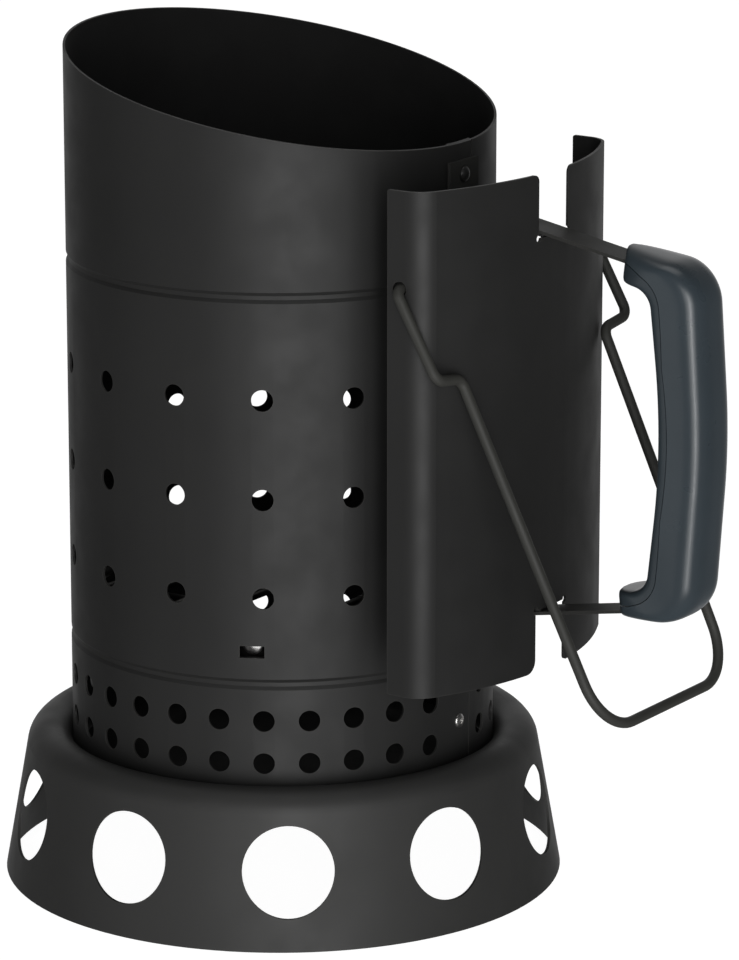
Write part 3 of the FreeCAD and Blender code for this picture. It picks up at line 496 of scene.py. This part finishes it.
def grip_section(outer, inner, share, shell, count):
    """One closed ring of the shell or the cover, from the outline's two points at a station."""
    centre = (outer + inner) / 2
    depth = outer - inner
    half_depth = depth.length / 2
    across = depth.normalized()
    half_width = plan_half_width(min(outer.x, inner.x))
    side = 1 if shell else -1
    parting = parting_depth(share) - half_depth + side * GRIP_PARTING_GAP / 2
    limit = power_angle(parting, half_depth)
    first, last = (-limit, limit) if shell else (limit, 2 * math.pi - limit)
    ring = []
    for step in range(count):
        angle = first + (last - first) * step / (count - 1)
        inward, sideways = power_point(angle, half_depth, half_width)
        flat = centre + across * inward
        ring.append(Vector((GRIP_END + flat.x, sideways, flat.y)))
    return ring


def skin(mesh, rings):
    """Add a closed skin through rings of equal counts, with a cap at each end."""
    rows = [[mesh.verts.new(point) for point in ring] for ring in rings]
    for row, following in zip(rows, rows[1:]):
        for index in range(len(row)):
            after = (index + 1) % len(row)
            mesh.faces.new((row[index], row[after], following[after], following[index]))
    mesh.faces.new(rows[0])
    mesh.faces.new(rows[-1])


def solid(*skins):
    """One mesh with a closed skin for each list of rings."""
    mesh = bmesh.new()
    for rings in skins:
        skin(mesh, rings)
    bmesh.ops.recalc_face_normals(mesh, faces=mesh.faces)
    return mesh


def circle(out, radius, height, steps):
    """Points round a line along X at a height."""
    angles = [2 * math.pi * step / steps for step in range(steps)]
    return [(out, radius * math.cos(angle), height + radius * math.sin(angle)) for angle in angles]


def grip_piece(name, material, shell):
    """The outer shell or the inner cover of the hand grip, with a narrow gap at their parting."""
    outer = rounded_line(GRIP_OUTER, GRIP_STRAIGHT_STEPS, GRIP_CURVED_STEPS)
    inner = rounded_line(GRIP_INNER, GRIP_STRAIGHT_STEPS, GRIP_CURVED_STEPS)
    last = len(outer) - 1
    count = GRIP_SHELL_POINTS if shell else GRIP_COVER_POINTS
    rings = [grip_section(outer[index], inner[index], index / last, shell, count)
             for index in range(last + 1)]
    item = piece_from(name, solid(rings), material, "starter")
    if not shell:
        sink_screws(item)
    bevel(item, GRIP_LIP, 2, 40.0)
    weld(item)
    return item


def round_bar(name, start, end, radius, height):
    """A bar along X from one place to another, as a loose object to cut with."""
    rings = [circle(out, radius, height, BORE_STEPS) for out in (start, end)]
    return placed(name, solid(rings))


def sink_screws(cover):
    """Cut the cover's two bores down to the screws' heads."""
    low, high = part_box("grip_screws")
    seat = low.x + SCREW_HEAD_RISE
    for height in (low.z + SCREW_HEAD_RADIUS, high.z - SCREW_HEAD_RADIUS):
        cutter = round_bar("bore_cutter", GRIP_END, seat, SCREW_BORE_RADIUS, height)
        boring = cover.modifiers.new("bore", "BOOLEAN")
        boring.operation = "DIFFERENCE"
        boring.solver = "EXACT"
        boring.object = cutter
        view = bpy.context.evaluated_depsgraph_get()
        cut = bpy.data.meshes.new_from_object(cover.evaluated_get(view))
        cover.modifiers.remove(boring)
        cover.data = cut
        bpy.data.objects.remove(cutter)


# a blind rivet's outline, from the tail's middle inside the tube to the hollow in its head:
# out from the tube's wall, and radius
BLIND_RIVET = (
    (-3.2, 0.3), (-3.1, 1.2), (-2.7, 1.9), (-2.1, 2.1), (-1.5, 1.9), (-1.2, 1.6), (0.0, 1.6),
    (0.03, 3.0), (0.28, 3.0), (0.60, 2.80), (0.92, 2.30), (1.15, 1.75), (1.25, 1.45), (1.20, 1.25),
    (0.75, 1.12), (0.62, 0.85), (0.72, 0.45), (0.74, 0.12),
)
RIVET_HEAD_RISE = 1.3 * MM
RIVET_STEPS = 40


def lathe(outline, wall, height):
    """Rings of an outline of (out, radius) in millimetres, turned about a line along X at a height."""
    return [circle(wall + out * MM, radius * MM, height, RIVET_STEPS) for out, radius in outline]


def blind_rivets():
    """The seam's two aluminium rivets, with their broken-off mandrels down in their heads."""
    low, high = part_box("seam_rivets")
    wall = high.x - RIVET_HEAD_RISE
    heights = (low.z + high.y, high.z - high.y)
    mesh = solid(*[lathe(BLIND_RIVET, wall, height) for height in heights])
    item = piece_from("blind_rivets", mesh, aluminium, "starter")
    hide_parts("seam_rivets")


# ---------------------------------------------------------------- camera, light and floor

def make_camera():
    """The photographer's place and lens, with no lens shift and no depth of field."""
    data = bpy.data.cameras.new("camera")
    data.sensor_fit = "VERTICAL"
    data.sensor_height = SENSOR_HEIGHT
    data.sensor_width = SENSOR_HEIGHT
    data.lens = CAMERA_LENS
    data.clip_start = 0.05
    data.clip_end = 60.0
    item = bpy.data.objects.new("camera", data)
    back = -CAMERA_FORWARD.normalized()
    right = CAMERA_UP.cross(back).normalized()
    up = back.cross(right)
    axes = Matrix((right, up, back)).transposed()
    item.matrix_world = Matrix.Translation(CAMERA_PLACE) @ axes.to_4x4()
    bpy.context.scene.collection.objects.link(item)
    bpy.context.scene.camera = item


def make_light(name, place, width, length, power):
    """A rectangular light aimed at the object, with its size in metres and its power in watts."""
    data = bpy.data.lights.new(name, "AREA")
    data.shape = "RECTANGLE"
    data.size = width
    data.size_y = length
    data.energy = power
    item = bpy.data.objects.new(name, data)
    item.location = place
    item.rotation_euler = (STUDIO_MIDDLE - place).to_track_quat("-Z", "Y").to_euler()
    bpy.context.scene.collection.objects.link(item)


def make_floor():
    """A wide pale floor just under the object, which isn't part of it."""
    mesh = bmesh.new()
    bmesh.ops.create_grid(mesh, x_segments=2, y_segments=2, size=FLOOR_HALF)
    item = placed("floor", mesh)
    item.location.z = CAD_LOW.z - FLOOR_DROP
    item.visible_glossy = False
    item.visible_shadow = False
    item.data.materials.append(pale_floor())


def make_world():
    """Surroundings that are bright behind the object, and dim at its sides and on the camera's side."""
    world = bpy.data.worlds.new("studio")
    bpy.context.scene.world = world
    world.use_nodes = True
    tree = world.node_tree
    nodes, links = tree.nodes, tree.links
    background = nodes["Background"]
    direction = nodes.new("ShaderNodeTexCoord").outputs["Generated"]
    dot = nodes.new("ShaderNodeVectorMath")
    dot.operation = "DOT_PRODUCT"
    flat = Vector((CAMERA_FORWARD.x, CAMERA_FORWARD.y, 0)).normalized()
    dot.inputs[1].default_value = flat
    links.new(direction, dot.inputs[0])
    ramp = nodes.new("ShaderNodeValToRGB")
    shift = nodes.new("ShaderNodeMapRange")
    shift.inputs["From Min"].default_value = -1.0
    shift.inputs["From Max"].default_value = 1.0
    links.new(dot.outputs["Value"], shift.inputs["Value"])
    links.new(shift.outputs["Result"], ramp.inputs["Fac"])
    ramp.color_ramp.elements[0].position = WORLD_LEVELS[0][0]
    ramp.color_ramp.elements[1].position = WORLD_LEVELS[-1][0]
    for position, _ in WORLD_LEVELS[1:-1]:
        ramp.color_ramp.elements.new(position)
    for element, (_, level) in zip(ramp.color_ramp.elements, WORLD_LEVELS):
        element.color = (level, level, level, 1.0)
    links.new(ramp.outputs["Color"], background.inputs["Color"])
    background.inputs["Strength"].default_value = 1.0


def make_studio():
    """Camera, surroundings, floor and four soft lights."""
    bpy.context.scene.view_settings.view_transform = "Standard"
    make_camera()
    make_world()
    make_floor()
    toward = Vector((-CAMERA_FORWARD.x, -CAMERA_FORWARD.y, 0)).normalized()
    right = Vector((CAMERA_FORWARD.y, -CAMERA_FORWARD.x, 0)).normalized()
    for name, (ahead, aside, height, width, length, power) in LIGHTS.items():
        place = toward * ahead + right * aside + Vector((0.0, 0.0, height))
        make_light(name, place, width, length, power)


# ---------------------------------------------------------------- finishes

# the floor plate gets painted shade for its place deep in the tube
floor_plate_shaded_black = paint("floor_plate_painted_shade", FLOOR_PLATE_SHADE, roughness=0.85, specular=0.2, grain=0.5)
# the tube's inside gets painted shade
tube_black = paint_with_inside_shade("tube_paint", BLACK_PAINT, roughness=0.56, specular=0.38, grain=0.30)
# the base ring gets the lighter copy of the black paint, as painted light
base_black_lit = paint("base_paint_lit", BASE_PAINT_LIT, roughness=0.58, specular=0.38, grain=0.30)
black = paint("black_paint", BLACK_PAINT, roughness=0.56, specular=0.38, grain=0.30)
strap_black = paint("strap_paint", STRAP_PAINT, roughness=0.56, specular=0.35, grain=0.30)
wire_black = paint("wire_paint", WIRE_PAINT, roughness=0.60, specular=0.40, grain=0.20)
rivet_black = paint("rivet_paint", BLACK_PAINT, roughness=0.38, specular=0.50, grain=0.20)
grip_plastic = moulded_plastic("grip_plastic", GRIP_PLASTIC, roughness=0.29)
# the cover gets the darker copy of the grip's plastic, as painted shade
cover_plastic_shaded = moulded_plastic("grip_cover_plastic", GRIP_PLASTIC_SHADED, roughness=0.32)
aluminium = bare_metal("aluminium", RIVET_ALUMINIUM, roughness=0.34, stretch=(1.0, 1.0, 0.15), stain=0.82)
steel = bare_metal("screw_steel", SCREW_STEEL, roughness=0.36, stretch=(1.0, 1.0, 0.2), stain=0.7)
# the lugs get near-black steel, as painted shade
lug_metal_shaded = bare_metal("lug_steel_shaded", LUG_STEEL_SHADED, roughness=0.55, stretch=(1.0, 1.0, 0.3), stain=0.5)
stud_steel = bare_metal("stud_steel", STUD_STEEL, roughness=0.26, stretch=(1.0, 1.0, 0.3), stain=0.7)
grate_metal = bare_metal("grate_steel", GRATE_STEEL, roughness=0.48, stretch=(0.2, 0.2, 1.0), stain=0.45)

make_studio()

dress("chimney_tube", tube_black, SHEET_EDGE)
dress("floor_plate", floor_plate_shaded_black)
dress("base_ring", base_black_lit, SHEET_EDGE)
dress("heat_shield", black, SHEET_EDGE)
dress("shield_clip_upper", black)
dress("shield_clip_lower", black)
dress("handle_strap", strap_black, SHEET_EDGE)
dress("strap_rivets", rivet_black)
dress("base_rivets", rivet_black)
blind_rivets()
dress("wire_bail", wire_black)
dress("bail_retainers", rivet_black)
shell = grip_piece("grip_shell", grip_plastic, shell=True)
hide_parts("grip_outer_shell")
cover = grip_piece("grip_cover", cover_plastic_shaded, shell=False)
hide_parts("grip_inner_cover")
dress("grip_screws", steel)
dress("grate_ring", grate_metal)
dress("grate_bars", grate_metal)
dress("grate_cross_bars", grate_metal)
dress("grate_lugs", lug_metal_shaded)
dress("lug_studs", stud_steel)
